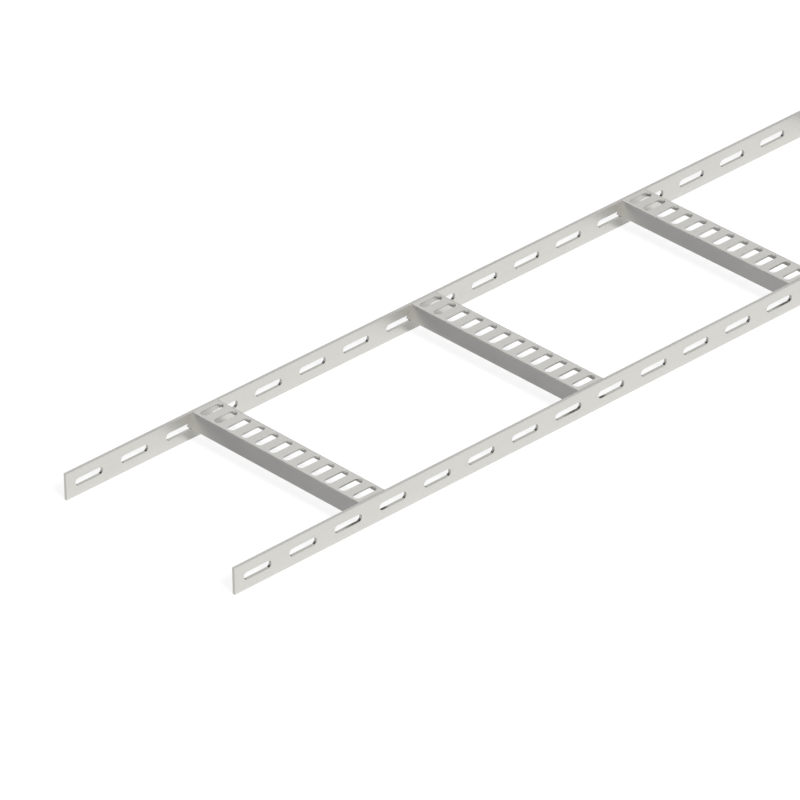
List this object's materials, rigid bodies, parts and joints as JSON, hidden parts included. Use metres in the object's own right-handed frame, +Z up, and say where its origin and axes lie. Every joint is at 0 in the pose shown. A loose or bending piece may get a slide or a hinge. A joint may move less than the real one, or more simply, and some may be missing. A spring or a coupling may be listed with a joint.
{
  "type": "cable ladder section",
  "caption": "Straight cable ladder section: slotted flat-bar side rails joined by welded trapezoidal slotted rungs.",
  "frame": {"origin": "on the floor under the middle of the ladder's length and width", "axes": "+X along the ladder, towards its end; +Y across it, towards the left rail; +Z up, from the rails' lower edges to the rungs"},
  "size_m": [3, 0.206, 0.025],
  "materials": {
    "side_rail_steel": "stainless flat bar, pickled to a matt, slightly warm light grey",
    "rung_steel": "stainless sheet, punched and folded, matt cold-rolled mill finish"
  },
  "bodies": {
    "root": {"side_rail_left": "side_rail_steel", "side_rail_right": "side_rail_steel", "rung_01": "rung_steel", "rung_02": "rung_steel", "rung_03": "rung_steel", "rung_04": "rung_steel", "rung_05": "rung_steel", "rung_06": "rung_steel", "rung_07": "rung_steel", "rung_08": "rung_steel", "rung_09": "rung_steel", "rung_10": "rung_steel", "rung_11": "rung_steel", "rung_12": "rung_steel"}
  },
  "joints": []
}
